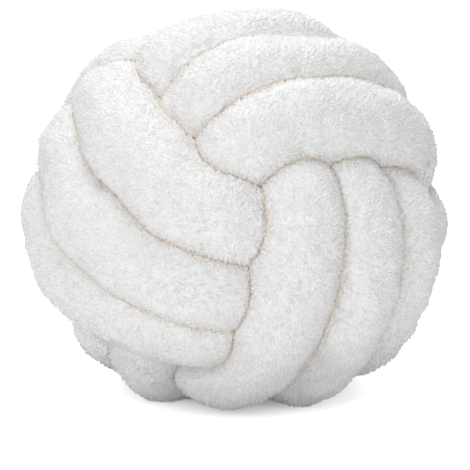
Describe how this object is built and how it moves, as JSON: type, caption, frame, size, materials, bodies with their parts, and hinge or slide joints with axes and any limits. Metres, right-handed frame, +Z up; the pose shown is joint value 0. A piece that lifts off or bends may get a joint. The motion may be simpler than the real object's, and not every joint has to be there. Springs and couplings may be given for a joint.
{
  "type": "knot cushion",
  "caption": "Round decorative cushion: a long stuffed tube of fleece tied into a ball knot of linked bands, with its strands side by side.",
  "frame": {"origin": "under the middle of the cushion, on the surface that it rests on", "axes": "+Z up, out of the surface it rests on; -Y towards the viewer who sees the corner where three bands meet; +X to that viewer's right"},
  "size_m": [0.3004, 0.2972, 0.2745],
  "materials": {
    "fleece": "short curly pile, matt, off-white"
  },
  "bodies": {
    "root": {"stuffed_tube": "fleece"}
  },
  "joints": []
}
